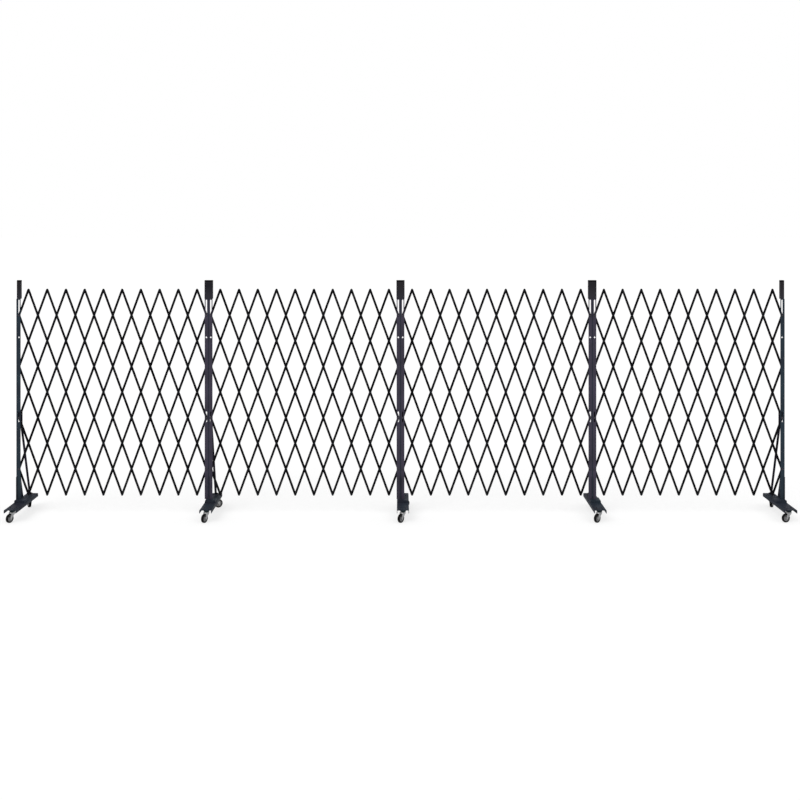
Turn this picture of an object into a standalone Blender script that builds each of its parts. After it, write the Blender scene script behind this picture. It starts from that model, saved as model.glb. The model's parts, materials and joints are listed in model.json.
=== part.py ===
"""Portable folding barrier.

Four panels of riveted scissor strips stand between five stations. A middle station has two steel
angle posts back to back and an end station has one. The posts are bolted to an upright plate and
bar on a foot: a channel laid across the barrier, with a brace behind the posts and a swivel caster
under each end. The panels fold sideways, and the stations roll together.

+X runs along the barrier, -Y is the front and +Z is up. The origin lies on the floor under the
middle station.
"""

import math

import bmesh
import bpy
import numpy as np

# Barrier
PANELS = 4
PANEL_SPAN = 1.582
BARRIER_HEIGHT = 1.981
SEAT_GAP = 0.0003
CUT_OVERRUN = 0.002

# Lattice: columns are half a diamond apart, and columns and rows are counted from zero
LATTICE_COLUMNS = 20
LATTICE_ROWS = 8
LATTICE_TOP_DROP = 0.0805
LOWEST_ROW_HEIGHT = 0.171
STRIP_WIDTH = 0.019
STRIP_DEPTH = 0.004
STRIP_OVERHANG = 0.010

# Posts
POST_LEG = 0.030
POST_WALL = 0.003
POST_HEEL_RADIUS = 0.002
POST_RIVET_INSET = 0.016
SLOT_WIDTH = 0.012
TOP_SLOT_ROW = 7
TOP_SLOT_CLIMB = 0.127
LOW_SLOT_ROW = 3
LOW_SLOT_CLIMB = 0.048
LOW_SLOT_DROP = 0.030
PIVOT_ROW = 1
TIE_HOLE_ROW = 6
TIE_HOLE_CLIMB = 0.031
TIE_HOLE_RADIUS = 0.007

# Bolts that hold a lattice to its posts
BOLT_RADIUS = 0.005
BOLT_HEAD_RADIUS = 0.009
BOLT_HEAD_THICKNESS = 0.003

# Post caps
CAP_HEIGHT = 0.157
CAP_WALL = 0.0015
CAP_CORNER_RADIUS = 0.0025

# Feet
FOOT_LENGTH = 0.600
FOOT_WIDTH = 0.100
FOOT_FLANGE = 0.028
FOOT_WALL = 0.004
FOOT_BEND_RADIUS = 0.006
FOOT_HEIGHT = 0.114
END_FOOT_INSET = 0.038
MIDDLE_FOOT_SHIFT = 0.020
SADDLE_LENGTH = 0.110
SADDLE_WIDTH = 0.088
SADDLE_HEIGHT = 0.020
SADDLE_WALL = 0.004
SADDLE_BEND_RADIUS = 0.005
GUSSET_THICKNESS = 0.005
GUSSET_HEIGHT = 0.188
GUSSET_NOSE = 0.018
GUSSET_TOE = 0.165
GUSSET_BACK = 0.090
GUSSET_LIP = 0.008

# Braces
BRACE_WIDTH = 0.019
BRACE_THICKNESS = 0.005
BRACE_TOP_HEIGHT = 0.874
BRACE_UPRIGHT_LENGTH = 0.119
BRACE_FOOT_INSET = 0.045
BRACE_TAB_LENGTH = 0.010
BRACE_PAD_LENGTH = 0.024
BRACE_PAD_WIDTH = 0.030
BRACE_PAD_THICKNESS = 0.006
END_BRACE_OFFSET = 0.030
BRACKET_WALL = 0.003
BRACKET_HEIGHT = 0.040
BRACKET_DROP = 0.004
BRACKET_DEPTH = 0.012

# Casters
CASTER_END_INSET = 0.065
CASTER_TRAIL = 0.030
CASTER_PLATE_SIZE = 0.062
CASTER_PLATE_THICKNESS = 0.003
RACE_RADIUS = 0.025
RACE_BASE_RADIUS = 0.018
RACE_DEPTH = 0.021
RACE_BEND = 0.009
KINGPIN_RADIUS = 0.006
FORK_WALL = 0.003
FORK_NOSE = 0.017
FORK_TAIL = 0.024
FORK_SHOULDER = 0.012
FORK_BOSS_RADIUS = 0.009
FORK_SIDE_GAP = 0.001
AXLE_RADIUS = 0.004
AXLE_HEAD = 0.003
WHEEL_RADIUS = 0.0375
WHEEL_HALF_WIDTH = 0.0115
WHEEL_TREAD_HALF_WIDTH = 0.008
WHEEL_SHOULDER_RADIUS = 0.030
WHEEL_RIM_RADIUS = 0.0255
WHEEL_WEB_HALF_WIDTH = 0.0085
WHEEL_HUB_RADIUS = 0.011
WHEEL_HUB_HALF_WIDTH = 0.0125

# The way that each caster trails at rest, in degrees from +X towards +Y
FRONT_TRAILS_DEG = (243.0, 244.0, 235.0, 226.0, 203.0)
REAR_TRAIL_DEG = 35.0
END_REAR_TRAIL_DEG = 60.0

# Facets
BEND_STEPS = 2
ROUND_END_STEPS = 4
HOLE_SIDES = 8
BOLT_SIDES = 6
PIN_SIDES = 6
RACE_SIDES = 10
WHEEL_SIDES = 14
SMOOTH_ANGLE_DEG = 35.0

# Worked out from the sizes above
STATIONS = PANELS + 1
MIDDLE_STATION = (STATIONS + 1) // 2
ROW_SPACING = (BARRIER_HEIGHT - LATTICE_TOP_DROP - LOWEST_ROW_HEIGHT) / LATTICE_ROWS
POST_HEEL_X = GUSSET_THICKNESS / 2 + SEAT_GAP
RIVET_LINE_X = POST_HEEL_X + POST_RIVET_INSET
STATION_PITCH = PANEL_SPAN + 2 * RIVET_LINE_X
POST_FRONT_Y = -(STRIP_DEPTH + SEAT_GAP + POST_WALL)
POST_BACK_Y = POST_FRONT_Y + POST_LEG
BRACE_TOP_Y = POST_BACK_Y + SEAT_GAP + BRACE_THICKNESS / 2
BRACE_FOOT_Y = FOOT_LENGTH / 2 - BRACE_FOOT_INSET
SADDLE_TOP = FOOT_HEIGHT + SADDLE_HEIGHT
POST_FOOT_HEIGHT = SADDLE_TOP + SEAT_GAP
POST_TOP_HEIGHT = BARRIER_HEIGHT - CAP_WALL - SEAT_GAP
CASTER_Y = FOOT_LENGTH / 2 - CASTER_END_INSET
CASTER_PLATE_TOP = FOOT_HEIGHT - FOOT_WALL - SEAT_GAP
RACE_TOP = CASTER_PLATE_TOP - CASTER_PLATE_THICKNESS
FORK_TOP = RACE_TOP - RACE_DEPTH - SEAT_GAP
FORK_INNER_Y = WHEEL_HUB_HALF_WIDTH + FORK_SIDE_GAP
FORK_OUTER_Y = FORK_INNER_Y + FORK_WALL
AXLE_HEIGHT = WHEEL_RADIUS * math.cos(math.pi / WHEEL_SIDES)


def row_height(row):
    """The height above the floor of a row of rivets, counted from zero at the bottom."""
    return LOWEST_ROW_HEIGHT + row * ROW_SPACING


def station_x(station):
    """The x of a station's upright plate, for stations counted from 1."""
    return (station - MIDDLE_STATION) * STATION_PITCH


def post_sides(station):
    """The sides of the upright plate that carry a post: -1 is left and 1 is right."""
    return [side for side in (-1, 1) if 1 <= station + (side - 1) // 2 <= PANELS]


def foot_shift(station):
    """How far the foot's middle lies from the upright plate. An end foot is set inwards, and a
    middle one to the right."""
    sides = post_sides(station)
    return sides[0] * END_FOOT_INSET if len(sides) == 1 else MIDDLE_FOOT_SHIFT


def brace_offset(station):
    """How far the brace lies from the upright plate."""
    sides = post_sides(station)
    return sides[0] * END_BRACE_OFFSET if len(sides) == 1 else MIDDLE_FOOT_SHIFT


def bar_top(station):
    """The height of the top of the upright bar. At an end station it stops below the cap."""
    if len(post_sides(station)) == 1:
        return BARRIER_HEIGHT - CAP_HEIGHT - SEAT_GAP
    return POST_TOP_HEIGHT


def front_trail_deg(station):
    """The way that a station's front caster trails."""
    return FRONT_TRAILS_DEG[(station - 1) % len(FRONT_TRAILS_DEG)]


def rear_trail_deg(station):
    """The way that a station's rear caster trails. The end ones mirror each other."""
    sides = post_sides(station)
    if len(sides) == 2:
        return REAR_TRAIL_DEG
    return 180 - END_REAR_TRAIL_DEG if sides[0] == 1 else END_REAR_TRAIL_DEG


def clear_scene():
    for item in list(bpy.data.objects):
        bpy.data.objects.remove(item)


def metal(name, colour, roughness, metallic):
    """A plain material of one colour."""
    found = bpy.data.materials.new(name)
    found.use_nodes = True
    shader = found.node_tree.nodes["Principled BSDF"]
    shader.inputs["Base Color"].default_value = (*colour, 1)
    shader.inputs["Roughness"].default_value = roughness
    shader.inputs["Metallic"].default_value = metallic
    return found


def dark_steel():
    return metal("strip_steel", (0.012, 0.011, 0.016), 0.45, 0.3)


def post_enamel():
    return metal("post_enamel", (0.052, 0.048, 0.068), 0.4, 0.2)


def cap_enamel():
    return metal("cap_enamel", (0.022, 0.021, 0.03), 0.45, 0.1)


def foot_enamel():
    return metal("foot_enamel", (0.035, 0.033, 0.05), 0.42, 0.2)


def race_steel():
    return metal("race_steel", (0.02, 0.04, 0.05), 0.4, 0.6)


def zinc_plate():
    return metal("zinc_plate", (0.55, 0.55, 0.55), 0.35, 0.9)


def black_rubber():
    return metal("black_rubber", (0.01, 0.01, 0.01), 0.7, 0.0)


def arc(centre, radius, start_deg, end_deg, steps):
    """Points on an arc of a circle, both ends included."""
    angles = np.radians(np.linspace(start_deg, end_deg, steps + 1))
    return [(centre[0] + radius * math.cos(a), centre[1] + radius * math.sin(a)) for a in angles]


def circle(centre, radius, sides):
    return arc(centre, radius, 0, 360 - 360 / sides, sides - 1)


def mirrored(outline, side):
    """An outline turned over in x where side is -1."""
    return [(side * x, y) for x, y in outline]


def slot_outline(x, low, high, width):
    """An upright slot with round ends, centred on the two given heights."""
    half = HOLE_SIDES // 2
    return arc((x, high), width / 2, 0, 180, half) + arc((x, low), width / 2, 180, 360, half)


def mesh_from(name, points, faces):
    """A closed mesh with its faces turned outwards."""
    mesh = bpy.data.meshes.new(name)
    shape = bmesh.new()
    verts = [shape.verts.new(point) for point in points]
    for face in faces:
        shape.faces.new([verts[n] for n in face])
    bmesh.ops.recalc_face_normals(shape, faces=shape.faces[:])
    shape.to_mesh(mesh)
    shape.free()
    return mesh


def prisms(name, outlines, low, high, axis):
    """Flat outlines carried along an axis, as one mesh. An outline lies in the other two axes."""
    points, faces = [], []
    for outline in outlines:
        first, count = len(points), len(outline)
        for level in (low, high):
            points += [np.insert(point, "XYZ".index(axis), level) for point in outline]
        ring = list(range(first, first + count))
        faces += [ring, [n + count for n in ring]]
        faces += [(a, b, b + count, a + count) for a, b in zip(ring, ring[1:] + ring[:1])]
    return mesh_from(name, points, faces)


def turned(name, profile, sides, axis):
    """A closed profile of (radius, place along the axis), swept once round the axis."""
    points, faces, count = [], [], len(profile)
    for turn in range(sides):
        angle = (turn + 0.5) * 2 * math.pi / sides
        for radius, along in profile:
            across = radius * math.sin(angle), -radius * math.cos(angle)
            points.append(np.insert(across, "XYZ".index(axis), along))
    for turn in range(sides):
        here, there = turn * count, (turn + 1) % sides * count
        for n in range(count):
            after = (n + 1) % count
            faces.append((here + n, here + after, there + after, there + n))
    return mesh_from(name, points, faces)


def boxes_of(pairs):
    """The four corners of each upright rectangle given as (low corner, high corner)."""
    return [[(a, b), (c, b), (c, d), (a, d)] for (a, b), (c, d) in pairs]


def combined(name, body, others, operation):
    """One mesh from a body that is joined to, or cut by, the other meshes in turn."""
    helpers = [bpy.data.objects.new(name, mesh) for mesh in [body, *others]]
    for helper in helpers:
        bpy.context.collection.objects.link(helper)
    for helper in helpers[1:]:
        step = helpers[0].modifiers.new("combine", "BOOLEAN")
        step.operation = operation
        step.solver = "EXACT"
        step.object = helper
    graph = bpy.context.evaluated_depsgraph_get()
    found = bpy.data.meshes.new_from_object(helpers[0].evaluated_get(graph))
    for helper in helpers:
        bpy.data.objects.remove(helper)
    found.name = name
    return found


def rounded(mesh):
    """Smooth shading that keeps the sharp corners."""
    mesh.shade_smooth()
    mesh.set_sharp_from_angle(angle=math.radians(SMOOTH_ANGLE_DEG))
    return mesh


def finished(mesh, material):
    mesh.materials.clear()
    mesh.materials.append(material)
    return mesh


def place(name, mesh, x, y, z, turn_deg=0):
    """A copy of a mesh as an object of its own."""
    item = bpy.data.objects.new(name, mesh)
    item.location = (x, y, z)
    item.rotation_euler.z = math.radians(turn_deg)
    bpy.context.collection.objects.link(item)
    return item


def strip_ends(lean):
    """The rivet places, as (column, row), at the two ends of each strip of one layer.

    A strip climbs one row for each column. It starts at the lowest row or at the left post, and
    ends at the highest row or at the right post. The other layer is its mirror image.
    """
    found = []
    for first in range(1 - LATTICE_ROWS, LATTICE_COLUMNS, 2):
        rows = [row for row in range(LATTICE_ROWS + 1) if 0 <= first + row <= LATTICE_COLUMNS]
        if len(rows) < 2:
            continue
        ends = [(first + row, row) for row in (rows[0], rows[-1])]
        if lean < 0:
            ends = [(LATTICE_COLUMNS - column, row) for column, row in ends]
        found.append(ends)
    return found


def strip_outline(ends):
    """A strip's four corners, seen from the front."""
    pitch = PANEL_SPAN / LATTICE_COLUMNS
    low, high = (np.array([column * pitch, row * ROW_SPACING]) for column, row in ends)
    along = (high - low) / np.linalg.norm(high - low)
    across = np.array([-along[1], along[0]]) * STRIP_WIDTH / 2
    over = along * STRIP_OVERHANG
    return [low - over - across, high + over - across, high + over + across, low - over + across]


def bolt_outlines(radius):
    """The bolts at both posts, seen from the front: one in the pivot hole and one in each slot."""
    heights = [row * ROW_SPACING for row in (PIVOT_ROW, LOW_SLOT_ROW, TOP_SLOT_ROW)]
    return [circle((x, z), radius, BOLT_SIDES) for x in (0, PANEL_SPAN) for z in heights]


def lattice_mesh():
    """Two crossed layers of strips, front and back, that touch and are one piece at each rivet,
    and the bolts that run from them through the front legs of the posts."""
    front, back = ([strip_outline(ends) for ends in strip_ends(lean)] for lean in (1, -1))
    head_back = POST_FRONT_Y - SEAT_GAP
    head_front = head_back - BOLT_HEAD_THICKNESS
    shank_start, shank_end = (head_front + head_back) / 2, -STRIP_DEPTH / 2
    front = prisms("front_strips", front, -STRIP_DEPTH, 0, "Y")
    back = prisms("back_strips", back, 0, STRIP_DEPTH, "Y")
    shanks = prisms("shanks", bolt_outlines(BOLT_RADIUS), shank_start, shank_end, "Y")
    heads = prisms("heads", bolt_outlines(BOLT_HEAD_RADIUS), head_front, head_back, "Y")
    return finished(combined("lattice", front, [back, shanks, heads], "UNION"), dark_steel())


def post_mesh(side):
    """A steel angle: its front leg is slotted and drilled, and its rear leg meets the upright
    plate. The heel is at x = 0 and the foot at z = 0."""
    heel = POST_HEEL_RADIUS
    front, back = POST_FRONT_Y, POST_BACK_Y
    outline = arc((heel, front + heel), heel, 180, 270, BEND_STEPS)
    outline += [(POST_LEG, front), (POST_LEG, front + POST_WALL)]
    outline += [(POST_WALL, front + POST_WALL), (POST_WALL, back), (0, back)]
    length = POST_TOP_HEIGHT - POST_FOOT_HEIGHT
    angle = prisms("angle", [mirrored(outline, side)], 0, length, "Z")
    line = POST_RIVET_INSET
    top, low, pivot, tie = (
        row_height(row) - POST_FOOT_HEIGHT
        for row in (TOP_SLOT_ROW, LOW_SLOT_ROW, PIVOT_ROW, TIE_HOLE_ROW)
    )
    holes = [
        circle((line, pivot), SLOT_WIDTH / 2, HOLE_SIDES),
        slot_outline(line, top, top + TOP_SLOT_CLIMB, SLOT_WIDTH),
        slot_outline(line, low - LOW_SLOT_DROP, low + LOW_SLOT_CLIMB, SLOT_WIDTH),
        circle((line, tie + TIE_HOLE_CLIMB), TIE_HOLE_RADIUS, HOLE_SIDES),
    ]
    start, end = front - CUT_OVERRUN, front + POST_WALL + CUT_OVERRUN
    cutter = prisms("post_holes", [mirrored(hole, side) for hole in holes], start, end, "Y")
    mesh = combined("post", angle, [cutter], "DIFFERENCE")
    return finished(mesh, post_enamel())


def rounded_box(low, high, radius):
    """The corners of a rectangle with round corners."""
    (left, front), (right, back) = low, high
    centres = [
        (right - radius, back - radius),
        (left + radius, back - radius),
        (left + radius, front + radius),
        (right - radius, front + radius),
    ]
    return [
        point
        for n, centre in enumerate(centres)
        for point in arc(centre, radius, 90 * n, 90 * n + 90, BEND_STEPS)
    ]


def cap_mesh(sides):
    """A sleeve, closed on top, that slips over the posts of one station."""
    left = POST_HEEL_X + POST_LEG if -1 in sides else -POST_HEEL_X
    right = POST_HEEL_X + POST_LEG if 1 in sides else -POST_HEEL_X
    inner, outer = (
        rounded_box(
            (-left - grow, POST_FRONT_Y - grow),
            (right + grow, POST_BACK_Y + grow),
            radius,
        )
        for grow, radius in (
            (SEAT_GAP, CAP_CORNER_RADIUS - CAP_WALL),
            (SEAT_GAP + CAP_WALL, CAP_CORNER_RADIUS),
        )
    )
    count = len(outer)
    rings = [(outer, CAP_HEIGHT), (outer, 0), (inner, 0), (inner, CAP_HEIGHT - CAP_WALL)]
    points = [(x, y, z) for ring, z in rings for x, y in ring]
    faces = [list(range(count)), list(range(3 * count, 4 * count))]
    for ring in range(3):
        for n in range(count):
            after = (n + 1) % count
            here, there = ring * count, (ring + 1) * count
            faces.append((here + n, here + after, there + after, there + n))
    return finished(rounded(mesh_from("cap", points, faces)), cap_enamel())


def hat_outline(centre, width, top, drop, wall, radius):
    """The section of a channel laid with its flanges down, in x and z."""
    left, right = centre - width / 2, centre + width / 2
    inner = radius - wall
    outline = [(right - wall, top - drop), (right, top - drop)]
    outline += arc((right - radius, top - radius), radius, 0, 90, BEND_STEPS)
    outline += arc((left + radius, top - radius), radius, 90, 180, BEND_STEPS)
    outline += [(left, top - drop), (left + wall, top - drop)]
    outline += arc((left + radius, top - radius), inner, 180, 90, BEND_STEPS)
    outline += arc((right - radius, top - radius), inner, 90, 0, BEND_STEPS)
    return outline


def gusset_outline(highest):
    """The upright plate that the posts are bolted to and the bar above it, in y and z. It stands
    on the saddle, and behind that on the foot."""
    top = SADDLE_TOP + GUSSET_HEIGHT
    step = SADDLE_LENGTH / 2 - SADDLE_WALL
    return [
        (-GUSSET_NOSE, SADDLE_TOP),
        (step, SADDLE_TOP),
        (step, FOOT_HEIGHT),
        (GUSSET_TOE, FOOT_HEIGHT),
        (GUSSET_TOE, FOOT_HEIGHT + GUSSET_LIP),
        (GUSSET_BACK, top),
        (POST_BACK_Y, top),
        (POST_BACK_Y, highest),
        (POST_FRONT_Y, highest),
        (POST_FRONT_Y, top),
        (-GUSSET_NOSE, top),
    ]


def foot_mesh(shift, highest):
    """The foot's channel with its saddle and its upright plate and bar welded on."""
    half = FOOT_LENGTH / 2
    channel = hat_outline(shift, FOOT_WIDTH, FOOT_HEIGHT, FOOT_FLANGE, FOOT_WALL, FOOT_BEND_RADIUS)
    saddle = hat_outline(
        shift, SADDLE_WIDTH, SADDLE_TOP, SADDLE_HEIGHT, SADDLE_WALL, SADDLE_BEND_RADIUS
    )
    channel = prisms("channel", [channel], -half, half, "Y")
    saddle = prisms("saddle", [saddle], -SADDLE_LENGTH / 2, SADDLE_LENGTH / 2, "Y")
    upright = [gusset_outline(highest)]
    upright = prisms("upright", upright, -GUSSET_THICKNESS / 2, GUSSET_THICKNESS / 2, "X")
    mesh = combined("foot", channel, [saddle, upright], "UNION")
    return finished(rounded(mesh), foot_enamel())


def bent_bar(line, thickness):
    """The outline of a bent flat bar whose middle follows a line of points."""
    points = [np.array(point) for point in line]
    runs = [(b - a) / np.linalg.norm(b - a) for a, b in zip(points, points[1:])]
    normals = [np.array([-run[1], run[0]]) for run in runs]
    pairs = zip([normals[0], *normals], [*normals, normals[-1]])
    offsets = [(a + b) / (1 + a @ b) * thickness / 2 for a, b in pairs]
    there = [point + offset for point, offset in zip(points, offsets)]
    back = [point - offset for point, offset in zip(points, offsets)]
    return there + back[::-1]


def bracket_outline(reach):
    """The bracket from a post's rear leg to the brace, in x and y."""
    seat = POST_HEEL_X + POST_WALL + SEAT_GAP
    inner = seat + BRACKET_WALL
    start = BRACE_TOP_Y - BRACKET_DEPTH
    front, back = BRACE_TOP_Y - BRACKET_WALL / 2, BRACE_TOP_Y + BRACKET_WALL / 2
    return [(seat, start), (inner, start), (inner, front), (reach, front), (reach, back), (seat, back)]


def brace_mesh(offset):
    """A bent flat bar behind a post, with a pad on the foot and a bracket on the post's rear leg."""
    pad_low = FOOT_HEIGHT + SEAT_GAP
    pad_high = pad_low + BRACE_PAD_THICKNESS
    tab_height = (pad_low + pad_high) / 2
    pad_start = BRACE_FOOT_Y + BRACE_TAB_LENGTH
    pad_end = pad_start + BRACE_PAD_LENGTH
    line = [
        (BRACE_TOP_Y, BRACE_TOP_HEIGHT),
        (BRACE_TOP_Y, BRACE_TOP_HEIGHT - BRACE_UPRIGHT_LENGTH),
        (BRACE_FOOT_Y, tab_height),
        ((pad_start + pad_end) / 2, tab_height),
    ]
    half, pad_half = BRACE_WIDTH / 2, BRACE_PAD_WIDTH / 2
    bar = prisms("bar", [bent_bar(line, BRACE_THICKNESS)], offset - half, offset + half, "X")
    pad = boxes_of([((offset - pad_half, pad_start), (offset + pad_half, pad_end))])
    pad = prisms("pad", pad, pad_low, pad_high, "Z")
    top = BRACE_TOP_HEIGHT - BRACKET_DROP
    bracket = [mirrored(bracket_outline(abs(offset)), math.copysign(1, offset))]
    bracket = prisms("bracket", bracket, top - BRACKET_HEIGHT, top, "Z")
    return finished(rounded(combined("brace", bar, [pad, bracket], "UNION")), dark_steel())


def caster_plate_mesh():
    """The square plate under the foot, with the bowl of the ball race pressed into it."""
    half = CASTER_PLATE_SIZE / 2
    square = boxes_of([((-half, -half), (half, half))])
    plate = prisms("plate", square, RACE_TOP, CASTER_PLATE_TOP, "Z")
    bore = KINGPIN_RADIUS + SEAT_GAP
    bottom = RACE_TOP - RACE_DEPTH
    middle = (RACE_TOP + CASTER_PLATE_TOP) / 2
    bowl = [
        (bore, middle),
        (bore, bottom),
        (RACE_BASE_RADIUS, bottom),
        (RACE_RADIUS, bottom + RACE_BEND),
        (RACE_RADIUS, middle),
    ]
    bowl = turned("bowl", bowl, RACE_SIDES, "Z")
    mesh = combined("caster_plate", plate, [bowl], "UNION")
    return finished(rounded(mesh), race_steel())


def fork_side_outline():
    """One leg of the fork, in x and z, with the kingpin's axis at x = 0."""
    axle = (CASTER_TRAIL, AXLE_HEIGHT)
    shoulder = FORK_TOP - FORK_SHOULDER
    boss = arc(axle, FORK_BOSS_RADIUS, 200, 350, ROUND_END_STEPS)
    return [(-FORK_NOSE, FORK_TOP), (-FORK_NOSE, shoulder), *boss, (FORK_TAIL, FORK_TOP)]


def fork_mesh():
    """A pressed fork with its kingpin and axle bolt. The wheel trails towards +X."""
    sides = [
        prisms("leg", [fork_side_outline()], *span, "Y")
        for span in ((-FORK_OUTER_Y, -FORK_INNER_Y), (FORK_INNER_Y, FORK_OUTER_Y))
    ]
    crown = boxes_of([((-FORK_NOSE, FORK_TOP - FORK_WALL), (FORK_TAIL, FORK_TOP))])
    crown = prisms("crown", crown, -FORK_OUTER_Y, FORK_OUTER_Y, "Y")
    pin_foot, pin_top = FORK_TOP - FORK_WALL / 2, RACE_TOP - SEAT_GAP
    kingpin = prisms("kingpin", [circle((0, 0), KINGPIN_RADIUS, PIN_SIDES)], pin_foot, pin_top, "Z")
    axle = circle((CASTER_TRAIL, AXLE_HEIGHT), AXLE_RADIUS, PIN_SIDES)
    reach = FORK_OUTER_Y + AXLE_HEAD
    axle = prisms("axle", [axle], -reach, reach, "Y")
    mesh = combined("fork", crown, [*sides, kingpin, axle], "UNION")
    return finished(rounded(mesh), zinc_plate())


def wheel_mesh():
    """A wheel with a raised hub and a rounded tread, turning about Y."""
    half_profile = [
        (AXLE_RADIUS + SEAT_GAP, WHEEL_HUB_HALF_WIDTH),
        (WHEEL_HUB_RADIUS, WHEEL_HUB_HALF_WIDTH),
        (WHEEL_RIM_RADIUS, WHEEL_WEB_HALF_WIDTH),
        (WHEEL_SHOULDER_RADIUS, WHEEL_HALF_WIDTH),
        (WHEEL_RADIUS, WHEEL_TREAD_HALF_WIDTH),
    ]
    profile = half_profile + [(radius, -along) for radius, along in reversed(half_profile)]
    return finished(rounded(turned("wheel", profile, WHEEL_SIDES, "Y")), black_rubber())


def build_panels():
    lattice = lattice_mesh()
    posts = {side: post_mesh(side) for side in (-1, 1)}
    for panel in range(1, PANELS + 1):
        left, right = station_x(panel), station_x(panel + 1)
        place(f"panel_{panel}_lattice", lattice, left + RIVET_LINE_X, 0, LOWEST_ROW_HEIGHT)
        place(f"panel_{panel}_left_post", posts[1], left + POST_HEEL_X, 0, POST_FOOT_HEIGHT)
        place(f"panel_{panel}_right_post", posts[-1], right - POST_HEEL_X, 0, POST_FOOT_HEIGHT)


def build_stations():
    feet, caps, braces = {}, {}, {}
    for station in range(1, STATIONS + 1):
        x, sides = station_x(station), tuple(post_sides(station))
        if sides not in feet:
            feet[sides] = foot_mesh(foot_shift(station), bar_top(station))
            caps[sides] = cap_mesh(sides)
            braces[sides] = brace_mesh(brace_offset(station))
        place(f"station_{station}_foot", feet[sides], x, 0, 0)
        place(f"station_{station}_brace", braces[sides], x, 0, 0)
        place(f"station_{station}_cap", caps[sides], x, 0, BARRIER_HEIGHT - CAP_HEIGHT)


def build_casters():
    plate, fork, wheel = caster_plate_mesh(), fork_mesh(), wheel_mesh()
    for station in range(1, STATIONS + 1):
        x = station_x(station) + foot_shift(station)
        for end, y, trail_deg in (
            ("front", -CASTER_Y, front_trail_deg(station)),
            ("rear", CASTER_Y, rear_trail_deg(station)),
        ):
            name = f"station_{station}_{end}"
            trail = math.radians(trail_deg)
            axle_x, axle_y = x + CASTER_TRAIL * math.cos(trail), y + CASTER_TRAIL * math.sin(trail)
            place(f"{name}_caster_plate", plate, x, y, 0)
            place(f"{name}_fork", fork, x, y, 0, trail_deg)
            place(f"{name}_wheel", wheel, axle_x, axle_y, AXLE_HEIGHT, trail_deg)


def main():
    clear_scene()
    build_panels()
    build_stations()
    build_casters()


main()
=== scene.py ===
"""Portable folding barrier: its finished look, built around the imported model.

Sizes are in metres. +X runs along the barrier, -Y is the front and +Z is up, and the origin lies
on the floor under the middle station. Every piece is worked out in that frame, so its object
stays at the origin.
"""

import json
import math

import bmesh
import bpy
import numpy as np
from bpy.props import FloatProperty, FloatVectorProperty, PointerProperty
from bpy.types import Operator, Panel, PropertyGroup
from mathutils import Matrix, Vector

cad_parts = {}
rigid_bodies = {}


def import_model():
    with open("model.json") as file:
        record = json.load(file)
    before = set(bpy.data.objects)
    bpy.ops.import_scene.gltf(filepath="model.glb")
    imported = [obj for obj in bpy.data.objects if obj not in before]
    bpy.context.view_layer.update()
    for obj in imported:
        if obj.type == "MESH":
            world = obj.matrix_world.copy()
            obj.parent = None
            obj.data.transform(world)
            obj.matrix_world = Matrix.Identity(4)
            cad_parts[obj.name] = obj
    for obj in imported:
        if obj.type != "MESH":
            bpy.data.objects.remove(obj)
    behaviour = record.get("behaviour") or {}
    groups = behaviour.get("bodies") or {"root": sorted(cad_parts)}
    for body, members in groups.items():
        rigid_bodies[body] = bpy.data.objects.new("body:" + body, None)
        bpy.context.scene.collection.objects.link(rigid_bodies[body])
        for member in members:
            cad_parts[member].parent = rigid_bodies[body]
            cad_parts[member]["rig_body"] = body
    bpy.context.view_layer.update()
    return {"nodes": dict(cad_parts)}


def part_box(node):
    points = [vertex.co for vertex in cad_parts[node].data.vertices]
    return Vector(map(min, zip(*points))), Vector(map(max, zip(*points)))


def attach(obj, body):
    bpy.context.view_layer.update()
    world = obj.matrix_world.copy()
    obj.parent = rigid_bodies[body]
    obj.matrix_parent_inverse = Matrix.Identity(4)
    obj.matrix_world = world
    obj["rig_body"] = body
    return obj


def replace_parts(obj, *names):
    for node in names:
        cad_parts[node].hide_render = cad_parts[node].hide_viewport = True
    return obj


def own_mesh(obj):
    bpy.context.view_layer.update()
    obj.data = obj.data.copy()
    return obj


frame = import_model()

bl_info = {
    "name": "Folding barrier",
    "version": (1, 0, 0),
    "blender": (4, 5, 0),
    "location": "View3D > Sidebar > Barrier",
    "description": "Builds the finished pieces of a portable folding barrier around its frame",
    "category": "Object",
}

# The frame's layout, in the same sizes as its solids
PANELS = 4
STATIONS = 5
COLUMNS = 20
ROWS = 8
PANEL_SPAN = 1.582
LOWEST_ROW = 0.171
ROW_SPACING = 0.2161875
BOLT_ROWS = (1, 3, 7)
BETWEEN_ROWS = (2, 4, 6)
FLUSH_COLUMNS = 1
RIVET_INSET = 0.016
LAYER_DEPTH = 0.004
LAYER_GAP = 0.0001
SEAT_GAP = 0.0003
POST_WALL = 0.003
PLATE_HALF = 0.0025
PLATE_NOSE = 0.018
PLATE_TOE = 0.165
REAR_LEG_FACE = PLATE_HALF + SEAT_GAP + POST_WALL
FOOT_WALL = 0.004
FOOT_TOP = 0.114
SADDLE_TOP = 0.134
SADDLE_HALF_WIDTH = 0.044
SADDLE_HALF_LENGTH = 0.055
SADDLE_WALL = 0.004
SADDLE_END_INSET = 0.001
SADDLE_END_CORNER = 0.0015
CASTER_TRAIL = 0.030
RACE_PLATE = 0.003

# Heights of the bolts through an upright plate, above its saddle
PLATE_BOLT_HEIGHTS = np.array([0.034, 0.094, 0.158])

# A cap's paint is paler and browner up to the first height above its brim, and unchanged from the
# second
CAP_SKIRT = (0.02, 0.11)

# Shares of a bolt's, a rivet's and a weld's own sizes
CHAMFER_SHARE = 0.12
HEAD_BASE_SHARE = 0.96
HEAD_FLAT_SHARE = 0.5
RIVET_DOME = [(1.0, 0.0), (1.0, 0.22), (0.8, 0.72), (0.42, 1.0)]
TIP_SHARE = 0.8
WELD_RIPPLE = 0.12
WELD_TIP = 0.15

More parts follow.
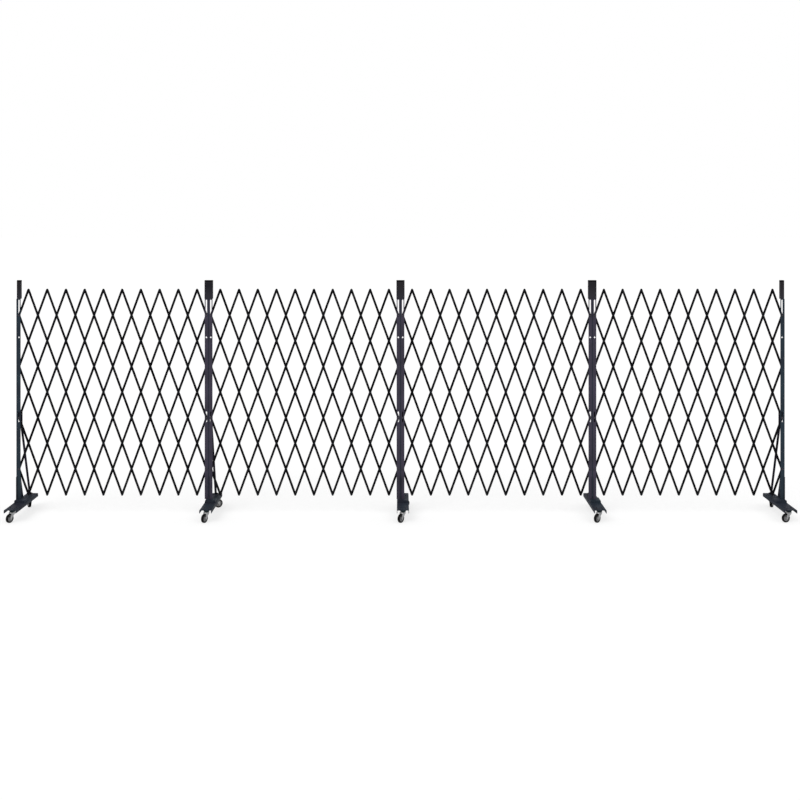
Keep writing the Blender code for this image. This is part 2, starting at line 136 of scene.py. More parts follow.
# The race bowl: how far its flange reaches past its wall, and heights beside its top
RACE_FLANGE = 0.0015
RACE_BITE = 0.001
RACE_FLANGE_EDGE = 0.0006
RACE_NECK = 0.0022
RACE_CENTRE = 0.0065

# The fork: x of its crown's ends, and profiles of (radius, along) for its axle and kingpin
FORK_HALF_WIDTH = 0.0165
FORK_SHOULDER = 0.012
FORK_NOSE = -0.017
FORK_TAIL = 0.024
FORK_EDGE = 0.0005
FORK_EASE = 0.35
BOSS_START_DEG = -84
AXLE_HEAD = [(0.0062, 0), (0.0067, 0.0006), (0.0067, 0.0022), (0.0058, 0.0029)]
AXLE_RADIUS = 0.004
AXLE_INSET = 0.001
KINGPIN_BUTTON = [(0.0075, 0), (0.0075, 0.0012), (0.0055, 0.0026)]

# The tyre, and half of the hub's profile of (radius, along) from its bore to its rim
TREAD_HEIGHT = 0.0075
TREAD_CROWN = 0.55
TREAD_WIDTH = 0.8
BEAD_RISE = 0.0008
BEAD_EDGE = 0.0006
BEAD_SIDE = 0.0022
RIM_LAP = 0.0001
RIM_HALF_WIDTH = 0.0090
HUB_HALF = [
    (0.0042, 0.0124),
    (0.0088, 0.0124),
    (0.0102, 0.0112),
    (0.0112, 0.0084),
    (0.0132, 0.0066),
    (0.0205, 0.0058),
    (0.0232, 0.0070),
    (0.0244, 0.0092),
]

# Tones that the finishes turn to, and the height that dust reaches
VIOLET = (0.06, 0.045, 0.09)
TEAL = (0.012, 0.05, 0.06)
BROWN = (0.05, 0.04, 0.03)
SOOT = (0.014, 0.014, 0.017)
BARE_STEEL = (0.1, 0.1, 0.11)
DULL_ZINC = (0.18, 0.18, 0.17)
SCUFFED = (0.05, 0.05, 0.05)
DUST = (0.12, 0.115, 0.11, 1.0)
DUST_REACH = 0.32

# The stage: the lamps' tilt and turn in degrees, and the camera's fixed values
KEY_WAY = (48.0, -32.0)
FILL_WAY = (42.0, 40.0)
FLOOR_REACH = 120.0
SENSOR_WIDTH = 36.0
CLIP_END = 500.0

# How many corners the round shapes have, and how many steps their curves
RIVET_SIDES = 10
HEX_SIDES = 6
WASHER_SIDES = 20
WELD_SIDES = 8
BAR_END_CORNERS = 7
ROUND_CORNERS = 6
RACE_SIDES = 40
WHEEL_SIDES = 56
RACE_STEPS = 7
BOSS_STEPS = 8
LEG_STEPS = 9
SHOULDER_STEPS = 7
TREAD_STEPS = 19
SHARP_DEG = 32.0
SMALLEST_CORNER = 1e-4


def length(label, text, default):
    """A length that a user may change."""
    return FloatProperty(
        name=label, description=text, default=default, min=0.0, unit="LENGTH", precision=4
    )


def paint(label, text, default):
    """A colour that a user may change."""
    return FloatVectorProperty(
        name=label, description=text, default=default, min=0.0, max=1.0, size=3, subtype="COLOR"
    )


class BarrierBars(PropertyGroup):
    """Sizes of the strips and their rivets."""

    strip_width: length("Strip width", "Width of a lattice strip", 0.019)
    strip_edge: length("Strip edge", "Rounding of a strip's long edges", 0.0009)
    rivet_radius: length("Rivet radius", "Radius of a rivet's head", 0.0056)
    rivet_height: length("Rivet height", "Height of a rivet's head", 0.0024)


class BarrierBraces(PropertyGroup):
    """Sizes of the braces."""

    width: length("Width", "Width of a brace's flat bar", 0.019)
    thickness: length("Thickness", "Thickness of the flat bar", 0.005)
    edge: length("Edge", "Rounding of the bar's edges", 0.001)
    bend: length("Bend", "Radius of the bar's bends", 0.014)
    upright: length("Upright end", "Length of the end behind the post", 0.119)
    tab: length("Tab", "From the lower bend to the pad", 0.010)
    pad_width: length("Pad width", "Width of the pad on the foot", 0.030)
    pad_length: length("Pad length", "Length of the pad on the foot", 0.024)
    pad_height: length("Pad height", "Thickness of the pad on the foot", 0.006)
    pad_corner: length("Pad corner", "Rounding of the pad's corners", 0.005)
    bracket_wall: length("Bracket wall", "Thickness of the bracket on the post", 0.003)
    bracket_height: length("Bracket height", "Height of the bracket on the post", 0.040)
    bracket_drop: length("Bracket drop", "From the brace's top to its bracket", 0.004)
    rivet_inset: length("Rivet inset", "From the bracket's edges to its rivets", 0.0052)


class BarrierFasteners(PropertyGroup):
    """Sizes of the bolts, nuts and welds."""

    head_radius: length("Head radius", "Radius of a bolt's head over its corners", 0.0078)
    head_height: length("Head height", "Height of a bolt's head", 0.0048)
    nut_height: length("Nut height", "Height of a nut", 0.0058)
    shank_radius: length("Shank radius", "Radius of a bolt's shank", 0.004)
    shank_reach: length("Shank reach", "How far a bolt stands out of its nut", 0.0028)
    washer_radius: length("Washer radius", "Radius of a washer", 0.0098)
    washer_height: length("Washer height", "Thickness of a washer", 0.0012)
    joint_lap: length("Joint lap", "How far the enamel in a joint bites into its sides", 0.0001)
    joint_inset: length("Joint inset", "From the edges of a joint to the enamel in it", 0.0008)
    weld_radius: length("Weld radius", "Radius of a weld bead", 0.0023)
    weld_pitch: length("Weld pitch", "Distance between a bead's ripples", 0.0035)


class BarrierCaps(PropertyGroup):
    """Sizes of the post caps."""

    wall: length("Wall", "Wall of the sleeve", 0.0015)
    corner: length("Corner", "Rounding of the upright corners", 0.0028)
    lid_height: length("Lid height", "Height of the black lid", 0.012)
    lid_edge: length("Lid edge", "Rounding of the lid's top edge", 0.0026)


class BarrierCasters(PropertyGroup):
    """Sizes of the casters."""

    plate_corner: length("Plate corner", "Rounding of the plate's corners", 0.006)
    plate_edge: length("Plate edge", "Rounding of the plate's edges", 0.0006)
    plate_bolt_inset: length("Bolt inset", "From the plate's edge to its bolts", 0.0068)
    plate_bolt_scale: FloatProperty(
        name="Bolt scale", description="Size of its bolts beside the others", default=0.7, min=0.0
    )
    race_radius: length("Race radius", "Radius of the ball race's bowl", 0.025)
    race_base: length("Race base", "Radius of the bowl's flat bottom", 0.0175)
    race_bend: length("Race bend", "Height of the bowl's curve", 0.0095)
    fork_wall: length("Fork wall", "Thickness of the pressed fork", 0.003)
    fork_bend: length("Fork bend", "Outer radius of the fork's shoulders", 0.0052)
    boss_radius: length("Boss radius", "Rounding of a leg's end about the axle", 0.0095)
    rim_radius: length("Rim radius", "Where the tyre meets the hub", 0.0262)
    tyre_half_width: length("Tyre half width", "Half the width of the tyre", 0.0113)


class BarrierPaints(PropertyGroup):
    """Colours of the finishes."""

    strip: paint("Strips", "Near black enamel of the strips", (0.0032, 0.0030, 0.0040))
    rivet: paint("Rivets", "Enamel on the rivets' heads", (0.008, 0.008, 0.011))
    post: paint("Posts", "Violet grey enamel of the posts", (0.043, 0.040, 0.056))
    end_post: paint("End posts", "Blue grey enamel of the two end posts", (0.023, 0.030, 0.043))
    cap: paint("Caps", "Dark enamel of the cap sleeves", (0.0135, 0.0135, 0.019))
    lid: paint("Lids", "Black lids of the caps", (0.0028, 0.0028, 0.0034))
    foot: paint("Feet", "Dark enamel of the feet", (0.026, 0.028, 0.041))
    brace: paint("Braces", "Dark enamel of the braces", (0.010, 0.0095, 0.014))
    # Painted shade: the caster plates and race bowls get a dark teal that stands in for the shade
    # and reflection under the feet
    race: paint("Races", "Dark teal painted as the shade and reflection on the plates and races", (0.010, 0.022, 0.026))
    zinc: paint("Forks", "Zinc plate of the forks", (0.37, 0.375, 0.38))
    hub: paint("Hubs", "Grey of the wheel hubs", (0.19, 0.19, 0.195))
    tyre: paint("Tyres", "Black rubber of the tyres", (0.0045, 0.0045, 0.0048))
    bolt: paint("Bolts", "Blackened steel of the bolts", (0.014, 0.013, 0.018))
    floor: paint("Floor", "Pale floor", (0.93, 0.93, 0.93))


class BarrierStage(PropertyGroup):
    """The camera and the lights."""

    distance: length("Camera distance", "From the camera to the barrier", 10.04)
    height: length("Camera height", "Height of the camera above the floor", 2.53)
    aside: length("Camera aside", "How far the camera stands to the left", 0.0042)
    lens: FloatProperty(
        name="Lens", description="Focal length of the camera", default=53.5, min=1.0, unit="CAMERA"
    )
    drop: FloatProperty(
        name="Drop", description="How far the view is shifted down, in widths", default=0.231
    )
    key: FloatProperty(name="Key", description="Strength of the key light", default=1.35, min=0.0)
    fill: FloatProperty(name="Fill", description="Strength of the fill light", default=0.5, min=0.0)
    sky: FloatProperty(name="Sky", description="Strength of the sky's light", default=0.5, min=0.0)
    softness: FloatProperty(
        name="Softness", description="Width of the lights in degrees", default=35.0, min=0.0
    )
    glow: FloatProperty(
        name="Glow", description="Part of the floor that is white by itself", default=0.6, max=1.0
    )
    white: FloatProperty(name="White", description="Level of the floor's own white", default=1.15)


# Meshes


def tube_faces(count, levels, around, loop):
    """The faces that join neighbouring rings. An open tube gets a face at each end."""
    corner = np.arange(count * levels * around).reshape(count, levels, around)
    beside = np.roll(corner, -1, axis=2)
    above, beside_above = np.roll(corner, -1, axis=1), np.roll(beside, -1, axis=1)
    last = levels if loop else levels - 1
    quads = np.stack([corner, beside, beside_above, above], axis=-1)[:, :last]
    faces = quads.reshape(-1, 4).tolist()
    if not loop:
        faces += corner[:, 0, ::-1].tolist() + corner[:, -1].tolist()
    return faces


def piece(name, tubes, finish, body, loop=False):
    """One object from arrays of rings, each of them (tube, ring, corner, xyz)."""
    points, faces, first = [], [], 0
    for rings in tubes:
        rings = np.asarray(rings, float)
        rings = rings.reshape(-1, *rings.shape[-3:])
        count, levels, around = rings.shape[:3]
        faces += [[first + n for n in face] for face in tube_faces(count, levels, around, loop)]
        points.append(rings.reshape(-1, 3))
        first += count * levels * around
    mesh = bpy.data.meshes.new(name)
    mesh.from_pydata(np.concatenate(points).tolist(), [], faces)
    shape = bmesh.new()
    shape.from_mesh(mesh)
    bmesh.ops.recalc_face_normals(shape, faces=shape.faces[:])
    shape.to_mesh(mesh)
    shape.free()
    mesh.shade_smooth()
    mesh.set_sharp_from_angle(angle=math.radians(SHARP_DEG))
    mesh.materials.append(finish)
    item = bpy.data.objects.new(name, mesh)
    bpy.context.scene.collection.objects.link(item)
    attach(item, body)
    return item


def turned(centres, axis, profile, sides, turn=0.0):
    """A profile of (radius, along) turned about an axis: centre + along * axis + radius * spoke,
    where the spoke goes once round the axis."""
    axis = np.asarray(axis, float) / np.linalg.norm(axis)
    start = np.cross((0.0, 0.0, 1.0) if abs(axis[2]) < 0.9 else (1.0, 0.0, 0.0), axis)
    start /= np.linalg.norm(start)
    angle = turn + np.arange(sides) * 2 * np.pi / sides
    spoke = np.outer(np.cos(angle), start) + np.outer(np.sin(angle), np.cross(axis, start))
    radius, along = np.asarray(profile, float).T
    rings = along[:, None, None] * axis + radius[:, None, None] * spoke
    return np.asarray(centres, float).reshape(-1, 1, 1, 3) + rings


def rounding(edge, steps=2):
    """The inset and the depth of a rounded edge: a quarter circle from the face to the side."""
    angle = np.linspace(0, np.pi / 2, steps + 1)
    return edge * (1 - np.sin(angle)), edge * (1 - np.cos(angle))


def section_levels(low, high, edge):
    """The insets and heights of a plate's rings: in from its face, round its edge, and back."""
    inset, depth = rounding(edge)
    return np.concatenate([inset, inset[::-1]]), np.concatenate([low + depth, high - depth[::-1]])


def bars(starts, ends, width, low, high, edge):
    """Flat bars with round ends, as (bar, ring, corner, 3) in a plane's two axes and its normal.
    The outline is two half circles about the ends: end + (width / 2 - inset) * spoke."""
    starts, ends = np.asarray(starts, float), np.asarray(ends, float)
    along = (ends - starts) / np.linalg.norm(ends - starts, axis=1, keepdims=True)
    across = np.stack([-along[:, 1], along[:, 0]], axis=1)
    angle = np.linspace(-np.pi / 2, np.pi / 2, BAR_END_CORNERS)
    far = np.cos(angle)[:, None] * along[:, None] + np.sin(angle)[:, None] * across[:, None]
    spokes = np.concatenate([far, -far], axis=1)
    middles = np.repeat(np.stack([ends, starts], axis=1), BAR_END_CORNERS, axis=1)
    inset, height = section_levels(low, high, edge)
    reach = (width / 2 - inset)[None, :, None, None]
    flat = middles[:, None] + reach * spokes[:, None]
    heights = np.broadcast_to(height[None, :, None, None], (*flat.shape[:3], 1))
    return np.concatenate([flat, heights], axis=-1)


def bent(line, radius, steps=5):
    """A line's points and headings, with its corners drawn out into arcs: start + radius * (sin,
    -cos) of the heading, which turns evenly."""
    line = np.asarray(line, float)
    runs = np.diff(line, axis=0)
    heading = np.unwrap(np.arctan2(runs[:, 1], runs[:, 0]))
    points, headings = [line[:1]], [heading[:1]]
    for corner, first, last in zip(line[1:-1], heading, heading[1:]):
        reach = radius * np.tan(abs(last - first) / 2)
        angle = np.linspace(first, last, steps)
        swing = np.stack([np.sin(angle) - np.sin(first), np.cos(first) - np.cos(angle)], axis=1)
        start = corner - reach * np.array([np.cos(first), np.sin(first)])
        points.append(start + radius * np.sign(last - first) * swing)
        headings.append(angle)
    return np.concatenate([*points, line[-1:]]), np.concatenate([*headings, heading[-1:]])


def bent_bar(line, bend, thickness, width, edge):
    """A flat bar along a bent line: point + u * normal, with v across the line's plane, where
    (u, v) runs round a rectangle with round corners."""
    points, heading = bent(line, bend)
    along = np.stack([np.cos(heading), np.sin(heading)], axis=1)
    inset, depth = rounding(edge)
    start = points[0] + depth[:, None] * along[0]
    end = points[-1] - depth[::-1, None] * along[-1]
    points = np.concatenate([start, points[1:-1], end])
    counts = [len(depth)] + [1] * (len(along) - 2) + [len(depth)]
    along = np.repeat(along, counts, axis=0)
    normal = np.stack([-along[:, 1], along[:, 0]], axis=1)[:, None]
    insets = np.concatenate([inset, np.zeros(len(counts) - 2), inset[::-1]])
    half = np.array([thickness, width]) / 2
    sections = np.stack([rounded_rectangle(-half, half, edge, step) for step in insets])
    flat = points[:, None] + sections[..., :1] * normal
    return np.concatenate([flat, sections[..., 1:]], axis=-1)


def in_front_plane(shape):
    """From (x, z, y) to (x, y, z)."""
    return shape[..., [0, 2, 1]]


def in_side_plane(shape, x):
    """From (y, z, x) to (x, y, z), moved along X."""
    return shape[..., [2, 0, 1]] + np.array([x, 0.0, 0.0])


def rounded_rectangle(low, high, corner, inset=0.0):
    """The corners of a rectangle with round corners: a quarter circle at each, in turn."""
    low, high = np.asarray(low, float) + inset, np.asarray(high, float) - inset
    corner = max(corner - inset, SMALLEST_CORNER)
    turns = np.arange(4)[:, None] * np.pi / 2
    angle = turns + np.linspace(0, np.pi / 2, ROUND_CORNERS)
    middle_x = np.where([1, 0, 0, 1], high[0] - corner, low[0] + corner)[:, None]
    middle_y = np.where([1, 1, 0, 0], high[1] - corner, low[1] + corner)[:, None]
    x, y = middle_x + corner * np.cos(angle), middle_y + corner * np.sin(angle)
    return np.stack([x.ravel(), y.ravel()], axis=1)


def stacked(outlines, heights):
    """Rings from flat outlines, each at its own height."""
    return np.stack([np.insert(flat, 2, z, axis=1) for flat, z in zip(outlines, heights)])


def placed(shape, origin, turn):
    """Rings turned about Z and moved to an origin."""
    c, s = math.cos(turn), math.sin(turn)
    return shape @ np.array([[c, s, 0], [-s, c, 0], [0, 0, 1]]) + np.asarray(origin, float)


# Finishes


class Finish:
    """A material that is put together from nodes on the object's own coordinates."""

    def __init__(self, name, roughness, metallic=0.0, specular=0.5):
        self.material = bpy.data.materials.new(name)
        self.material.use_nodes = True
        self.tree = self.material.node_tree
        self.shader = self.tree.nodes["Principled BSDF"]
        self.shader.inputs["Metallic"].default_value = metallic
        self.shader.inputs["Roughness"].default_value = roughness
        self.shader.inputs["Specular IOR Level"].default_value = specular
        self.place = self.tree.nodes.new("ShaderNodeTexCoord").outputs["Object"]

    def node(self, kind, links=(), **settings):
        found = self.tree.nodes.new(kind)
        for key, value in settings.items():
            setattr(found, key, value)
        for socket, value in links:
            if isinstance(value, bpy.types.NodeSocket):
                self.tree.links.new(value, found.inputs[socket])
            else:
                found.inputs[socket].default_value = value
        return found

    def noise(self, scale, detail=3.0, rough=0.5, stretch=(1, 1, 1)):
        """Noise whose scale is in spots to the metre."""
        place = self.node("ShaderNodeMapping", [("Vector", self.place), ("Scale", stretch)])
        links = [("Vector", place.outputs[0]), ("Scale", scale), ("Detail", detail)]
        return self.node("ShaderNodeTexNoise", links + [("Roughness", rough)]).outputs["Fac"]

    def cells(self, scale):
        """Crystals of one tone each."""
        links = [("Vector", self.place), ("Scale", scale)]
        found = self.node("ShaderNodeTexVoronoi", links).outputs["Color"]
        return self.node("ShaderNodeSeparateColor", [("Color", found)]).outputs[0]

    def spread(self, value, low, high, to_low=0.0, to_high=1.0):
        """A value carried from one range to another, and held inside it."""
        links = [("Value", value), ("From Min", low), ("From Max", high)]
        links += [("To Min", to_low), ("To Max", to_high)]
        return self.node("ShaderNodeMapRange", links).outputs["Result"]

    def times(self, first, second):
        links = [(0, first), (1, second)]
        return self.node("ShaderNodeMath", links, operation="MULTIPLY").outputs[0]

    def mixed(self, share, first, second):
        """A colour between two others."""
        links = [("Factor", share), (6, first), (7, second)]
        return self.node("ShaderNodeMix", links, data_type="RGBA").outputs[2]

    def height(self):
        return self.node("ShaderNodeSeparateXYZ", [("Vector", self.place)]).outputs["Z"]

    def bump(self, value, depth, strength):
        links = [("Height", value), ("Distance", depth), ("Strength", strength)]
        self.link("Normal", self.node("ShaderNodeBump", links).outputs["Normal"])

    def link(self, socket, value):
        self.tree.links.new(value, self.shader.inputs[socket])


def tone(colour, factor=1.0, towards=(0.0, 0.0, 0.0), share=0.0):
    """A colour made lighter or darker, and drawn a little towards another."""
    made = np.array(colour) * factor * (1 - share) + np.array(towards) * share
    return (*np.clip(made, 0, 1).tolist(), 1.0)


def enamel(name, colour, tint, roughness=0.42, specular=0.3, dusty=0.3, skirt=None):
    """Sprayed enamel: soft drifts of tone, a fine orange peel, small rubbed spots, and dust that
    gathers towards the floor. A skirt is the height up to which it is paler and browner, and the
    height from which it is unchanged."""
    made = Finish(name, roughness, specular=specular)
    drift = made.spread(made.noise(5.0, 4.0), 0.34, 0.66)
    body = made.mixed(drift, tone(colour, 0.82), tone(colour, 1.12, tint, 0.25))
    if skirt:
        # Paler and browner towards the cap's lower edge
        worn = made.spread(made.height(), *skirt, 1.0, 0.0)
        body = made.mixed(worn, body, tone(colour, 1.7, tint, 0.1))
    rub = made.spread(made.noise(85.0, 6.0, 0.68), 0.63, 0.70, 0.0, 0.45)
    rubbed = made.mixed(rub, body, tone(colour, 2.2, BARE_STEEL, 0.25))
    low = made.spread(made.height(), 0.0, DUST_REACH, 1.0, 0.0)
    dust = made.times(low, made.spread(made.noise(40.0, 5.0, 0.6), 0.42, 0.75, 0.0, dusty))
    made.link("Base Color", made.mixed(dust, rubbed, DUST))
    wear = made.spread(made.noise(22.0, 5.0, 0.6), 0.3, 0.7, roughness - 0.08, roughness + 0.12)
    made.link("Roughness", wear)
    made.bump(made.noise(700.0, 2.0), 0.0004, 0.18)
    return made.material


def zinc(name, colour, roughness=0.34):
    """Zinc plate: crystals of slightly different tone, dull patches and fine rubbing marks."""
    made = Finish(name, roughness, metallic=0.85)
    crystals = made.spread(made.cells(260.0), 0.0, 1.0)
    plate = made.mixed(crystals, tone(colour, 0.72), tone(colour, 1.18))
    dull = made.spread(made.noise(55.0, 5.0, 0.6), 0.48, 0.68, 0.0, 0.7)
    made.link("Base Color", made.mixed(dull, plate, tone(colour, 0.5, DULL_ZINC, 0.3)))
    rough = made.spread(made.noise(90.0, 5.0, 0.6), 0.3, 0.7, roughness - 0.1, roughness + 0.18)
    made.link("Roughness", rough)
    made.bump(made.noise(1100.0, 3.0, 0.6, (1, 1, 0.2)), 0.0003, 0.2)
    return made.material


def rubber(name, colour, specular):
    """Moulded rubber: matt, scuffed grey in spots, with fine pores."""
    made = Finish(name, 0.68, specular=specular)
    scuff = made.spread(made.noise(120.0, 6.0, 0.65), 0.52, 0.7, 0.0, 0.6)
    made.link("Base Color", made.mixed(scuff, tone(colour), tone(colour, 3.0, SCUFFED, 0.2)))
    made.link("Roughness", made.spread(made.noise(60.0, 4.0), 0.3, 0.7, 0.6, 0.82))
    made.bump(made.noise(1500.0, 2.0), 0.0003, 0.25)
    return made.material


FINISHES = {}


def finishes():
    """Every finish of the barrier, made once."""
    if FINISHES:
        return FINISHES
    paints = bpy.context.scene.barrier_paints
    skirt = [box("station_1_cap")[0][2] + step for step in CAP_SKIRT]
    FINISHES.update(
        strip=enamel("strip_enamel", paints.strip, SOOT, 0.5, 0.03, 0.1),
        rivet=enamel("rivet_enamel", paints.rivet, TEAL, 0.45, 0.08, 0.15),
        post=enamel("post_enamel_worn", paints.post, VIOLET, 0.42, 0.05, 0.2),
        end_post=enamel("end_post_enamel_worn", paints.end_post, TEAL, 0.42, 0.05, 0.2),
        cap=enamel("cap_enamel_worn", paints.cap, BROWN, 0.4, 0.05, 0.0, skirt),
        lid=rubber("lid_plastic", paints.lid, 0.02),
        foot=enamel("foot_enamel_worn", paints.foot, TEAL, 0.42, 0.01, 0.08),
        brace=enamel("brace_enamel", paints.brace, VIOLET, 0.45, 0.03, 0.15),
        # Painted shade and reflection: the dark teal of the caster plates and race bowls stands for
        # the shade under the feet
        race=enamel("race_painted_shade", paints.race, TEAL, 0.38, 0.1, 0.1),
        zinc=zinc("fork_zinc", paints.zinc),
        hub=zinc("hub_zinc", paints.hub, 0.45),
        tyre=rubber("tyre_rubber", paints.tyre, 0.06),
        bolt=enamel("bolt_black", paints.bolt, VIOLET, 0.38, 0.35, 0.1),
    )
    return FINISHES


# Places


def box(node):
    """The lowest and highest corner of a node of the frame."""
    return [np.array(corner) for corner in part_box(node)]


def body_of_node(node):
    """The body that a node of the frame rides on."""
    return frame["nodes"][node]["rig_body"]


def rivet_line(panel, side):
    """The x of a post's line of rivets."""
    low, high = box(f"panel_{panel}_{side}_post")
    return low[0] + RIVET_INSET if side == "left" else high[0] - RIVET_INSET


def station_posts(station):
    """The panels and sides of a station's posts."""
    around = ((station - 1, "right"), (station, "left"))
    return [(panel, side) for panel, side in around if 1 <= panel <= PANELS]


def post_ways(station):
    """The sides of a station's upright plate that carry a post: -1 is left and 1 is right."""
    return [1 if side == "left" else -1 for panel, side in station_posts(station)]


def plate_x(station):
    """The x of the middle of a station's upright plate."""
    panel, side = station_posts(station)[0]
    low, high = box(f"panel_{panel}_{side}_post")
    gap = PLATE_HALF + SEAT_GAP
    return low[0] - gap if side == "left" else high[0] + gap


def row_height(row):
    """The height of a row of rivets: the lowest row + row * spacing."""
    return LOWEST_ROW + np.asarray(row) * ROW_SPACING


def folded(item):
    """Gives a piece of a panel a mesh of its own."""
    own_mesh(item)


def strip_ends():
    """The rivet places (column, row) at both ends of the strips that climb to the right. A strip
    climbs one row a column, from the lowest row or the left post to the top row or the right."""
    first = np.arange(1 - ROWS, COLUMNS, 2)
    low, high = np.maximum(0, -first), np.minimum(ROWS, COLUMNS - first)
    return np.stack([first + low, low], axis=1), np.stack([first + high, high], axis=1)


def rivet_places():
    """Every rivet place (column, row) whose column and row add up to an odd number, without
    those at the posts that hold a bolt."""
    column, row = (grid.ravel() for grid in np.mgrid[0 : COLUMNS + 1, 0 : ROWS + 1])
    at_post = (column == 0) | (column == COLUMNS)
    kept = ((column + row) % 2 == 1) & ~(at_post & np.isin(row, BOLT_ROWS))
    return column[kept], row[kept]


def bolt(centres, axis, with_washer=True, scale=1.0):
    """A hexagonal head on its washer, as rings that start on the face and go along the axis."""
    sizes = bpy.context.scene.barrier_fasteners
    washer = sizes.washer_height * scale if with_washer else 0.0
    top, radius = washer + sizes.head_height * scale, sizes.head_radius * scale
    chamfer = radius * CHAMFER_SHARE
    head = [(radius * HEAD_BASE_SHARE, washer), (radius, washer + chamfer / 3)]
    head += [(radius, top - chamfer / 2), (radius - chamfer, top)]
    head += [(radius * HEAD_FLAT_SHARE, top)]
    return [turned(centres, axis, head, HEX_SIDES)] + washers(centres, axis, with_washer, scale)


def washers(centres, axis, wanted=True, scale=1.0):
    """Flat washers with their edges taken off, turned from four points, or none."""
    sizes = bpy.context.scene.barrier_fasteners
    radius, height = sizes.washer_radius * scale, sizes.washer_height * scale
    profile = [(radius - height / 4, 0), (radius, height / 4), (radius, height * 3 / 4)]
    profile += [(radius - height / 4, height)]
    return [turned(centres, axis, profile, WASHER_SIDES)] if wanted else []


def nut(centres, axis, with_washer=True, scale=1.0):
    """A hexagonal nut on its washer, with the end of the bolt standing out of it."""
    sizes = bpy.context.scene.barrier_fasteners
    washer = sizes.washer_height * scale if with_washer else 0.0
    top, radius = washer + sizes.nut_height * scale, sizes.head_radius * scale
    chamfer = radius * CHAMFER_SHARE
    body = [(radius - chamfer, washer), (radius, washer + chamfer / 2)]
    body += [(radius, top - chamfer / 2), (radius - chamfer, top)]
    shank, end = sizes.shank_radius * scale, top + sizes.shank_reach * scale
    tip = [(shank, top - chamfer), (shank, end - shank / 5), (shank * TIP_SHARE, end)]
    shapes = [turned(centres, axis, body, HEX_SIDES), turned(centres, axis, tip, WASHER_SIDES // 2)]
    return shapes + washers(centres, axis, with_washer, scale)


def rivets(centres, axis):
    """Domed rivet heads, turned from four points: (radius, height) times the dome's shares."""
    sizes = bpy.context.scene.barrier_bars
    radius, height = sizes.rivet_radius, sizes.rivet_height
    dome = [(radius * wide, height * high) for wide, high in RIVET_DOME]
    return turned(centres, axis, dome, RIVET_SIDES)


def weld(start, end):
    """A bead along a line: a round section whose radius swells once for each ripple."""
    sizes = bpy.context.scene.barrier_fasteners
    start, end = np.asarray(start, float), np.asarray(end, float)
    reach = np.linalg.norm(end - start)
    along = np.linspace(0, reach, int(reach / sizes.weld_pitch * 4) + 2)
    taper = np.clip(np.minimum(along, reach - along) / sizes.weld_radius, WELD_TIP, 1.0)
    ripple = 1 + WELD_RIPPLE * np.sin(2 * np.pi * along / sizes.weld_pitch)
    profile = np.stack([sizes.weld_radius * np.sqrt(taper) * ripple, along], axis=1)
    return turned(start, end - start, profile, WELD_SIDES)


def caster_place(station, end):
    """A caster's swivel axis on the floor and the angle of its trail."""
    plate = sum(box(f"station_{station}_{end}_caster_plate")) / 2
    wheel = sum(box(f"station_{station}_{end}_wheel")) / 2
    trail = wheel - plate
    return (plate[0], plate[1], 0.0), math.atan2(trail[1], trail[0])


def caster_names():
    """Each caster's station and end."""
    return [(station, end) for station in range(1, STATIONS + 1) for end in ("front", "rear")]


# Operators


class BARRIER_OT_strips(Operator):
    """Adds the two crossed layers of strips of each panel"""

    bl_idname = "barrier.strips"
    bl_label = "Strips"

    def execute(self, context):
        sizes = context.scene.barrier_bars
        pitch = PANEL_SPAN / COLUMNS
        starts, ends = strip_ends()
        for panel in range(1, PANELS + 1):
            left = rivet_line(panel, "left")
            tubes = []
            for lean, low, high in ((1, -LAYER_DEPTH, -LAYER_GAP), (-1, LAYER_GAP, LAYER_DEPTH)):
                places = []
                for column, row in (starts.T, ends.T):
                    column = column if lean > 0 else COLUMNS - column
                    places.append(np.stack([left + column * pitch, row_height(row)], axis=1))
                shape = bars(*places, sizes.strip_width, low, high, sizes.strip_edge)
                tubes.append(in_front_plane(shape))
            node = f"panel_{panel}_lattice"
            name, body = f"panel_{panel}_strips", body_of_node(node)
            item = piece(name, tubes, finishes()["strip"], body)
            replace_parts(item, node)
            folded(item)
        return {"FINISHED"}


class BARRIER_OT_rivets(Operator):
    """Adds the domed heads of the rivets. Next to a post they have none in front, because a folded
    panel closes up behind the post there"""

    bl_idname = "barrier.rivets"
    bl_label = "Rivets"

    def execute(self, context):
        pitch = PANEL_SPAN / COLUMNS
        columns, rows = rivet_places()
        open_front = (columns > FLUSH_COLUMNS) & (columns < COLUMNS - FLUSH_COLUMNS)
        for panel in range(1, PANELS + 1):
            x = rivet_line(panel, "left") + columns * pitch
            places = np.stack([x, np.full(len(x), LAYER_DEPTH), row_height(rows)], axis=1)
            front = places[open_front] * (1, -1, 1)
            tubes = [rivets(places, (0, 1, 0)), rivets(front, (0, -1, 0))]
            body = body_of_node(f"panel_{panel}_lattice")
            item = piece(
                f"panel_{panel}_rivets", tubes, finishes()["rivet"], body
            )
            folded(item)
        return {"FINISHED"}


class BARRIER_OT_post_bolts(Operator):
    """Adds the bolts that hold the strips to the posts"""

    bl_idname = "barrier.post_bolts"
    bl_label = "Post bolts"

    def execute(self, context):
        for station in range(1, STATIONS + 1):
            tubes = []
            for panel, side in station_posts(station):
                front = box(f"panel_{panel}_{side}_post")[0][1]
                x, z = rivet_line(panel, side), row_height(BOLT_ROWS)
                heads = np.stack([np.full(len(z), x), np.full(len(z), front), z], axis=1)
                nuts = np.stack([np.full(len(z), x), np.full(len(z), LAYER_DEPTH), z], axis=1)
                tubes += bolt(heads, (0, -1, 0)) + nut(nuts, (0, 1, 0))
            piece(
                f"station_{station}_post_bolts",
                tubes,
                finishes()["bolt"],
                f"station_{station}",
            )
        return {"FINISHED"}


